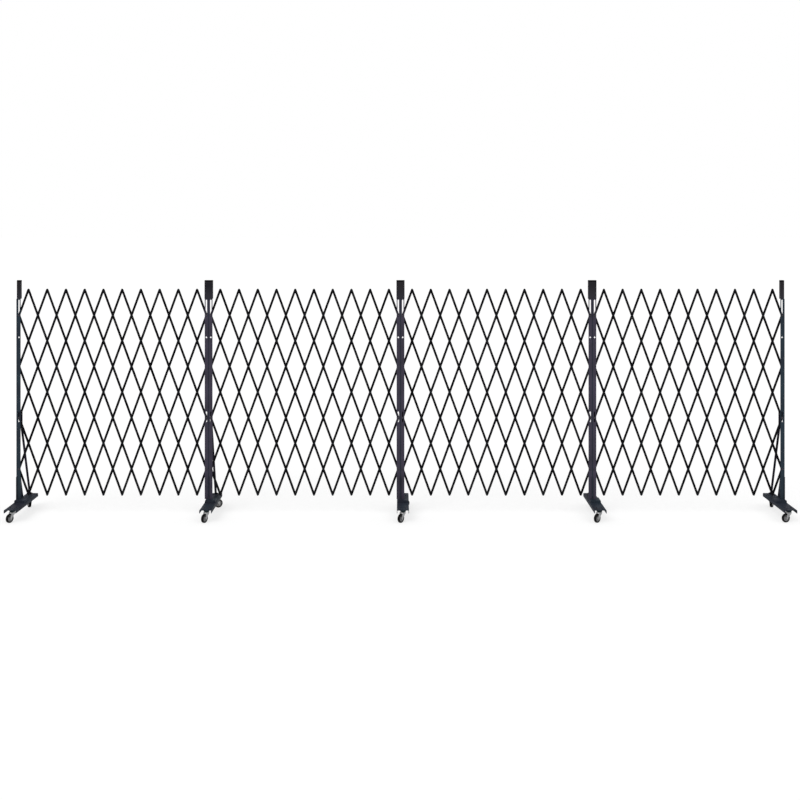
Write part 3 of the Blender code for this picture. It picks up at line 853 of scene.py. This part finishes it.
class BARRIER_OT_posts(Operator):
    """Gives the posts and the feet their worn enamel"""

    bl_idname = "barrier.posts"
    bl_label = "Posts and feet"

    def execute(self, context):
        for station in range(1, STATIONS + 1):
            posts = station_posts(station)
            finish = finishes()["post" if len(posts) > 1 else "end_post"]
            for panel, side in posts:
                post = frame["nodes"][f"panel_{panel}_{side}_post"]
                post.material_slots[0].material = finish
            foot = frame["nodes"][f"station_{station}_foot"]
            foot.material_slots[0].material = finishes()["foot"]
        return {"FINISHED"}


class BARRIER_OT_caps(Operator):
    """Adds the cap sleeves and their black lids"""

    bl_idname = "barrier.caps"
    bl_label = "Caps"

    def execute(self, context):
        sizes = context.scene.barrier_caps
        for station in range(1, STATIONS + 1):
            node = f"station_{station}_cap"
            low, high = box(node)
            brim = high[2] - sizes.lid_height
            body = body_of_node(node)

            def outline(inset):
                return rounded_rectangle(low[:2], high[:2], sizes.corner, inset)

            lip = sizes.wall / 4
            rings = [outline(lip), outline(0), outline(0), outline(lip)]
            rings += [outline(sizes.wall), outline(sizes.wall)]
            heights = [low[2], low[2] + lip, brim - lip, brim, brim, low[2]]
            sleeve = [stacked(rings, heights)]
            sleeve = piece(f"{node}_sleeve", sleeve, finishes()["cap"], body, True)
            inset, depth = rounding(sizes.lid_edge, 4)
            insets = [*(lip, 0), *inset[::-1]]
            heights = [brim, brim + lip, *(high[2] - depth[::-1])]
            lid = stacked([outline(step) for step in insets], heights)
            lid = piece(f"{node}_lid", [lid], finishes()["lid"], body)
            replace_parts(sleeve, node)
            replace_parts(lid, node)
        return {"FINISHED"}


class BARRIER_OT_braces(Operator):
    """Adds the bent braces with their pads, brackets, bolts and rivets"""

    bl_idname = "barrier.braces"
    bl_label = "Braces"

    def execute(self, context):
        sizes = context.scene.barrier_braces
        for station in range(1, STATIONS + 1):
            node, body = f"station_{station}_brace", f"station_{station}"
            low, high = box(node)
            x, way = plate_x(station), post_ways(station)[-1]
            outer = high[0] if way > 0 else low[0]
            middle = outer - way * sizes.pad_width / 2
            post_back = box("panel_1_left_post")[1][1]
            top_y = post_back + SEAT_GAP + sizes.thickness / 2
            pad_y, pad_z = high[1] - sizes.pad_length, low[2] + sizes.pad_height
            pad_middle, tab_z = high[1] - sizes.pad_length / 2, low[2] + sizes.pad_height / 2
            line = [(top_y, high[2]), (top_y, high[2] - sizes.upright)]
            line += [(pad_y - sizes.tab, tab_z), (pad_middle, tab_z)]
            bar = bent_bar(line, sizes.bend, sizes.thickness, sizes.width, sizes.edge)
            insets, heights = section_levels(low[2], pad_z, sizes.edge)
            corners = (middle - sizes.pad_width / 2, pad_y), (middle + sizes.pad_width / 2, high[1])
            pad = [rounded_rectangle(*corners, sizes.pad_corner, inset) for inset in insets]
            wall = sizes.bracket_wall
            web = x + way * (REAR_LEG_FACE + SEAT_GAP + wall / 2)
            line = [(web, low[1]), (web, top_y), (middle, top_y)]
            bracket = bent_bar(line, wall, wall, sizes.bracket_height, sizes.edge / 2)
            bracket_z = high[2] - sizes.bracket_drop - sizes.bracket_height / 2
            tubes = [in_side_plane(bar, middle), stacked(pad, heights), bracket + (0, 0, bracket_z)]
            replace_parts(piece(f"{node}_bar", tubes, finishes()["brace"], body), node)
            tubes = bolt([(middle, pad_middle, pad_z)], (0, 0, 1))
            tubes += nut([(middle, pad_middle, FOOT_TOP - FOOT_WALL)], (0, 0, -1))
            reach = sizes.bracket_height / 2 - 2 * sizes.rivet_inset
            far = REAR_LEG_FACE if -way in post_ways(station) else PLATE_HALF
            rivet_y = low[1] + sizes.rivet_inset
            for side, face in ((way, web + way * wall / 2), (-way, x - way * far)):
                places = [(face, rivet_y, bracket_z + z) for z in (-reach, reach)]
                tubes.append(rivets(places, (side, 0, 0)))
            piece(f"{node}_bolts", tubes, finishes()["bolt"], body)
        return {"FINISHED"}


class BARRIER_OT_foot_details(Operator):
    """Adds the welds of the feet, the thin plates that close their saddles in front, the bolts
    through their upright plates and bars, and the enamel in the joints beside the posts"""

    bl_idname = "barrier.foot_details"
    bl_label = "Foot details"

    def execute(self, context):
        sizes = context.scene.barrier_fasteners
        bead = sizes.weld_radius
        post_low, post_high = box("panel_1_left_post")
        joint_half = SEAT_GAP / 2 + sizes.joint_lap
        joint_y = post_low[1] + sizes.joint_inset, post_high[1] - sizes.joint_inset
        spans = [
            (SADDLE_TOP, bead - PLATE_NOSE, post_low[1] - bead),
            (SADDLE_TOP, post_high[1] + bead, SADDLE_HALF_LENGTH - bead),
            (FOOT_TOP, SADDLE_HALF_LENGTH + bead, PLATE_TOE - bead),
        ]
        plate_heights = SADDLE_TOP + PLATE_BOLT_HEIGHTS
        heights = np.concatenate([plate_heights, row_height(BETWEEN_ROWS)])
        for station in range(1, STATIONS + 1):
            low, high = box(f"station_{station}_foot")
            x, middle, body = plate_x(station), (low[0] + high[0]) / 2, f"station_{station}"
            beads = []
            for way in (-1, 1):
                edge = middle + way * SADDLE_HALF_WIDTH
                reach = SADDLE_HALF_LENGTH - bead
                beads.append(weld((edge, -reach, FOOT_TOP), (edge, reach, FOOT_TOP)))
                face = x + way * PLATE_HALF
                beads += [weld((face, front, z), (face, back, z)) for z, front, back in spans]
            piece(f"station_{station}_welds", beads, finishes()["foot"], body)
            inner, front = SADDLE_HALF_WIDTH - SADDLE_WALL, SADDLE_END_INSET - SADDLE_HALF_LENGTH
            corners = (middle - inner, FOOT_TOP), (middle + inner, SADDLE_TOP - SADDLE_WALL)
            insets, depths = section_levels(front, front + SADDLE_WALL, SADDLE_END_INSET / 2)
            rings = [rounded_rectangle(*corners, SADDLE_END_CORNER, inset) for inset in insets]
            end = in_front_plane(stacked(rings, depths))
            piece(f"station_{station}_saddle_end", [end], finishes()["foot"], body)
            ways, tubes = post_ways(station), []
            for way in ways:
                y = (post_low[1] + post_high[1]) / 2 + LAYER_DEPTH
                places = [(x + way * REAR_LEG_FACE, y, z) for z in heights]
                maker = nut if way == ways[0] else bolt
                tubes += maker(places, (way, 0, 0), False)
            name = f"station_{station}_plate_bolts"
            piece(name, tubes, finishes()["bolt"], body)
            joints = []
            for way in ways:
                joint = x + way * (PLATE_HALF + SEAT_GAP / 2)
                corners = [(joint - joint_half, y) for y in joint_y]
                corners += [(joint + joint_half, y) for y in joint_y[::-1]]
                joints.append(stacked([np.array(corners)] * 2, (post_low[2], high[2])))
            piece(f"station_{station}_joints", joints, finishes()["post"], body)
        return {"FINISHED"}


class BARRIER_OT_caster_plates(Operator):
    """Adds the caster plates, the bowls of their ball races and their bolts"""

    bl_idname = "barrier.caster_plates"
    bl_label = "Caster plates"

    def execute(self, context):
        sizes = context.scene.barrier_casters
        for station, end in caster_names():
            node = f"station_{station}_{end}_caster_plate"
            low, high = box(node)
            race_top = high[2] - RACE_PLATE
            insets, heights = section_levels(race_top, high[2], sizes.plate_edge)
            corner = sizes.plate_corner
            flat = [rounded_rectangle(low[:2], high[:2], corner, inset) for inset in insets]
            bend = np.linspace(0, np.pi / 2, RACE_STEPS)
            drop = sizes.race_radius - sizes.race_base
            bowl = [(sizes.race_radius + RACE_FLANGE, race_top + RACE_BITE)]
            bowl += [(sizes.race_radius + RACE_FLANGE, race_top - RACE_FLANGE_EDGE)]
            bowl += [(sizes.race_radius, race_top - RACE_NECK)]
            curve_r = sizes.race_base + drop * np.cos(bend)
            curve_z = low[2] + sizes.race_bend * (1 - np.sin(bend))
            bowl += list(zip(curve_r, curve_z)) + [(RACE_CENTRE, low[2])]
            centre = ((low[0] + high[0]) / 2, (low[1] + high[1]) / 2, 0.0)
            # The plate and its bowl take the dark teal painted for the shade and reflection under
            # the foot
            item = piece(
                f"{node}_race",
                [stacked(flat, heights), turned([centre], (0, 0, 1), bowl, RACE_SIDES)],
                finishes()["race"],
                body_of_node(node),
            )
            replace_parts(item, node)
            inset = sizes.plate_bolt_inset
            across, along = ((low[n] + inset, high[n] - inset) for n in (0, 1))
            corners = [(x, y) for x in across for y in along]
            heads = [(x, y, race_top) for x, y in corners]
            nuts = [(x, y, FOOT_TOP) for x, y in corners]
            scale = sizes.plate_bolt_scale
            tubes = bolt(heads, (0, 0, -1), False, scale) + nut(nuts, (0, 0, 1), False, scale)
            name = f"station_{station}_{end}_caster_bolts"
            piece(name, tubes, finishes()["bolt"], f"station_{station}")
        return {"FINISHED"}


class BARRIER_OT_forks(Operator):
    """Adds the pressed forks with their axle bolts"""

    bl_idname = "barrier.forks"
    bl_label = "Forks"

    def fork_rings(self, sizes, top, axle_height):
        """The fork's sheet: its section is a U over the wheel, and at each place on the U it
        reaches from its nose edge to its tail edge, which close in on the axle further down."""
        wall, bend, boss = sizes.fork_wall, sizes.fork_bend, sizes.boss_radius
        outer_half = FORK_HALF_WIDTH
        turn = np.radians(np.linspace(BOSS_START_DEG, 0, BOSS_STEPS))
        low = axle_height + boss * np.sin(turn)
        leg = np.concatenate([low, np.linspace(axle_height, top - bend, LEG_STEPS)[1:]])
        arc = np.radians(np.linspace(0, 90, SHOULDER_STEPS))[1:]
        zeros = np.zeros(len(leg))
        outer_y = np.concatenate([zeros + outer_half, outer_half - bend * (1 - np.cos(arc))])
        outer_z = np.concatenate([leg, top - bend * (1 - np.sin(arc))])
        inner = bend - wall
        inner_y = [zeros + outer_half - wall, outer_half - bend + inner * np.cos(arc)]
        inner_y = np.concatenate(inner_y)
        inner_z = np.concatenate([leg, top - bend + inner * np.sin(arc)])
        shoulder = top - FORK_SHOULDER
        climb = np.clip((outer_z - axle_height) / (shoulder - axle_height), 0, 1)
        ease = climb * climb * (3 - 2 * climb) * FORK_EASE + climb * (1 - FORK_EASE)
        under = np.clip((axle_height - outer_z) / boss, 0, 1)
        half_boss = boss * np.sqrt(1 - under * under)
        nose = (1 - ease) * (CASTER_TRAIL - half_boss) + ease * FORK_NOSE
        tail = (1 - ease) * (CASTER_TRAIL + half_boss) + ease * FORK_TAIL
        edge = FORK_EDGE
        corners = [
            (nose, outer_y - edge, outer_z),
            (nose + edge, outer_y, outer_z),
            (tail - edge, outer_y, outer_z),
            (tail, outer_y - edge, outer_z),
            (tail, inner_y + edge, inner_z),
            (tail - edge, inner_y, inner_z),
            (nose + edge, inner_y, inner_z),
            (nose, inner_y + edge, inner_z),
        ]
        half = np.stack([np.stack(corner, axis=1) for corner in corners], axis=1)
        other = half[::-1] * (1, -1, 1)
        return np.concatenate([half, other])

    def execute(self, context):
        sizes = context.scene.barrier_casters
        for station, end in caster_names():
            name = f"station_{station}_{end}"
            origin, turn = caster_place(station, end)
            wheel_low, wheel_high = box(f"{name}_wheel")
            axle_height = (wheel_low[2] + wheel_high[2]) / 2
            top = box(f"{name}_caster_plate")[0][2] - SEAT_GAP
            tubes = [self.fork_rings(sizes, top, axle_height)]
            for side in (-1, 1):
                head = (CASTER_TRAIL, side * FORK_HALF_WIDTH, axle_height)
                tubes.append(turned([head], (0, side, 0), AXLE_HEAD, HEX_SIDES))
            start = (CASTER_TRAIL, -FORK_HALF_WIDTH, axle_height)
            shank = [(AXLE_RADIUS, y) for y in (AXLE_INSET, 2 * FORK_HALF_WIDTH - AXLE_INSET)]
            tubes.append(turned([start], (0, 1, 0), shank, WASHER_SIDES))
            crown = (0, 0, top - sizes.fork_wall)
            tubes.append(turned([crown], (0, 0, -1), KINGPIN_BUTTON, WASHER_SIDES))
            tubes = [placed(tube, origin, turn) for tube in tubes]
            node = f"{name}_fork"
            item = piece(f"{node}_pressing", tubes, finishes()["zinc"], node)
            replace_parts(item, node)
        return {"FINISHED"}


class BARRIER_OT_wheels(Operator):
    """Adds the tyres and the hubs of the wheels"""

    bl_idname = "barrier.wheels"
    bl_label = "Wheels"

    def tyre_profile(self, sizes, radius):
        """The tyre's closed section: over a crowned tread, where radius and along go with powers of
        the cosine and the sine, and back by the two beads."""
        half, rim = sizes.tyre_half_width, sizes.rim_radius
        turn = np.linspace(-np.pi / 2, np.pi / 2, TREAD_STEPS)
        shoulder = radius - TREAD_HEIGHT
        tread_radius = shoulder + TREAD_HEIGHT * np.cos(turn) ** TREAD_CROWN
        tread_along = half * np.sign(turn) * np.abs(np.sin(turn)) ** TREAD_WIDTH
        sides = [(rim + BEAD_RISE, half - BEAD_EDGE), (rim, half - BEAD_SIDE)]
        sides += [(rim, BEAD_SIDE - half), (rim + BEAD_RISE, BEAD_EDGE - half)]
        return list(zip(tread_radius, tread_along)) + sides

    def hub_profile(self, sizes):
        """The hub's closed section, with its boss, a dished web and the rim: one half, then its
        mirror image."""
        half = HUB_HALF + [(sizes.rim_radius + RIM_LAP, RIM_HALF_WIDTH)]
        return half + [(radius, -along) for radius, along in reversed(half)]

    def execute(self, context):
        sizes = context.scene.barrier_casters
        for station, end in caster_names():
            node = f"station_{station}_{end}_wheel"
            low, high = box(node)
            origin, turn = caster_place(station, end)
            centre = (CASTER_TRAIL, 0.0, (low[2] + high[2]) / 2)
            radius = (high[2] - low[2]) / 2
            for name, profile, finish, slot_name in (
                ("tyre", self.tyre_profile(sizes, radius), "tyre", "black_rubber"),
                ("hub", self.hub_profile(sizes), "hub", "zinc_plate"),
            ):
                rings = placed(turned([centre], (0, 1, 0), profile, WHEEL_SIDES), origin, turn)
                item = piece(f"{node}_{name}", [rings], finishes()[finish], node, True)
                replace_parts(item, node)
        return {"FINISHED"}


class BARRIER_OT_stage(Operator):
    """Adds the floor, the lights and the camera"""

    bl_idname = "barrier.stage"
    bl_label = "Stage"

    def seen(self, tree):
        """1 where the camera or a glossy or clear surface looks, and 0 for the light itself."""
        rays = tree.nodes.new("ShaderNodeLightPath")
        found = rays.outputs["Is Camera Ray"]
        for other in ("Is Glossy Ray", "Is Transmission Ray"):
            either = tree.nodes.new("ShaderNodeMath")
            either.operation = "MAXIMUM"
            tree.links.new(found, either.inputs[0])
            tree.links.new(rays.outputs[other], either.inputs[1])
            found = either.outputs[0]
        return found

    def level(self, tree, low, high):
        """One value for the light itself and another for what is seen."""
        found = tree.nodes.new("ShaderNodeMapRange")
        found.inputs["To Min"].default_value = low
        found.inputs["To Max"].default_value = high
        tree.links.new(self.seen(tree), found.inputs["Value"])
        return found.outputs["Result"]

    def floor(self, colour, glow, white):
        """A pale floor that takes a faint shadow. Part of what is seen of it is white by itself."""
        reach = FLOOR_REACH
        corners = [(-reach, -reach, 0), (reach, -reach, 0), (reach, reach, 0), (-reach, reach, 0)]
        mesh = bpy.data.meshes.new("floor")
        mesh.from_pydata(corners, [], [(0, 1, 2, 3)])
        finish = bpy.data.materials.new("pale_floor")
        finish.use_nodes = True
        tree = finish.node_tree
        shader = tree.nodes["Principled BSDF"]
        shader.inputs["Base Color"].default_value = (*colour, 1.0)
        shader.inputs["Roughness"].default_value = 0.9
        shader.inputs["Specular IOR Level"].default_value = 0.0
        light = tree.nodes.new("ShaderNodeEmission")
        light.inputs["Strength"].default_value = white
        mix = tree.nodes.new("ShaderNodeMixShader")
        tree.links.new(self.level(tree, 0.0, glow), mix.inputs["Fac"])
        tree.links.new(shader.outputs["BSDF"], mix.inputs[1])
        tree.links.new(light.outputs["Emission"], mix.inputs[2])
        tree.links.new(mix.outputs["Shader"], tree.nodes["Material Output"].inputs["Surface"])
        mesh.materials.append(finish)
        floor = bpy.data.objects.new("floor", mesh)
        bpy.context.scene.collection.objects.link(floor)

    def sky(self, strength):
        """A white world. What the camera and gloss see of it is white, and its light is softer."""
        world = bpy.data.worlds.new("studio")
        bpy.context.scene.world = world
        world.use_nodes = True
        tree = world.node_tree
        background = tree.nodes["Background"]
        background.inputs["Color"].default_value = (1.0, 1.0, 1.0, 1.0)
        tree.links.new(self.level(tree, strength, 1.0), background.inputs["Strength"])

    def lamp(self, name, strength, softness, tilt_deg, turn_deg):
        """A sun that shines straight down, tilted about X and then turned about Z."""
        lamp = bpy.data.lights.new(name, "SUN")
        lamp.energy = strength
        lamp.angle = math.radians(softness)
        item = bpy.data.objects.new(name, lamp)
        item.rotation_euler = (math.radians(tilt_deg), 0.0, math.radians(turn_deg))
        bpy.context.scene.collection.objects.link(item)

    def execute(self, context):
        stage = context.scene.barrier_stage
        self.floor(context.scene.barrier_paints.floor, stage.glow, stage.white)
        self.sky(stage.sky)
        self.lamp("key", stage.key, stage.softness, *KEY_WAY)
        self.lamp("fill", stage.fill, stage.softness, *FILL_WAY)
        lens = bpy.data.cameras.new("camera")
        lens.sensor_width = SENSOR_WIDTH
        lens.lens = stage.lens
        lens.shift_y = -stage.drop
        lens.clip_end = CLIP_END
        camera = bpy.data.objects.new("camera", lens)
        camera.location = (-stage.aside, -stage.distance, stage.height)
        camera.rotation_euler = (math.pi / 2, 0.0, 0.0)
        context.scene.collection.objects.link(camera)
        context.scene.camera = camera
        context.scene.view_settings.view_transform = "Standard"
        return {"FINISHED"}


class BARRIER_PT_pieces(Panel):
    """Lists the barrier's pieces, sizes and colours"""

    bl_idname = "BARRIER_PT_pieces"
    bl_label = "Folding barrier"
    bl_space_type = "VIEW_3D"
    bl_region_type = "UI"
    bl_category = "Barrier"

    def draw(self, context):
        column = self.layout.column()
        for operator in OPERATORS:
            column.operator(operator.bl_idname)
        for key in GROUPS:
            settings = getattr(context.scene, key)
            column.separator()
            for name in settings.__annotations__:
                column.prop(settings, name)


GROUPS = {
    "barrier_bars": BarrierBars,
    "barrier_braces": BarrierBraces,
    "barrier_fasteners": BarrierFasteners,
    "barrier_caps": BarrierCaps,
    "barrier_casters": BarrierCasters,
    "barrier_paints": BarrierPaints,
    "barrier_stage": BarrierStage,
}
OPERATORS = (
    BARRIER_OT_strips,
    BARRIER_OT_rivets,
    BARRIER_OT_post_bolts,
    BARRIER_OT_posts,
    BARRIER_OT_caps,
    BARRIER_OT_braces,
    BARRIER_OT_foot_details,
    BARRIER_OT_caster_plates,
    BARRIER_OT_forks,
    BARRIER_OT_wheels,
    BARRIER_OT_stage,
)


def register():
    for key, group in GROUPS.items():
        bpy.utils.register_class(group)
        setattr(bpy.types.Scene, key, PointerProperty(type=group))
    for operator in OPERATORS:
        bpy.utils.register_class(operator)
    bpy.utils.register_class(BARRIER_PT_pieces)


def unregister():
    bpy.utils.unregister_class(BARRIER_PT_pieces)
    for operator in reversed(OPERATORS):
        bpy.utils.unregister_class(operator)
    for key, group in GROUPS.items():
        delattr(bpy.types.Scene, key)
        bpy.utils.unregister_class(group)


def main():
    """Builds every piece and the stage."""
    register()
    bpy.ops.barrier.posts()
    bpy.ops.barrier.strips()
    bpy.ops.barrier.rivets()
    bpy.ops.barrier.post_bolts()
    bpy.ops.barrier.caps()
    bpy.ops.barrier.braces()
    bpy.ops.barrier.foot_details()
    bpy.ops.barrier.caster_plates()
    bpy.ops.barrier.forks()
    bpy.ops.barrier.wheels()
    bpy.ops.barrier.stage()


if __name__ == "__main__":
    main()
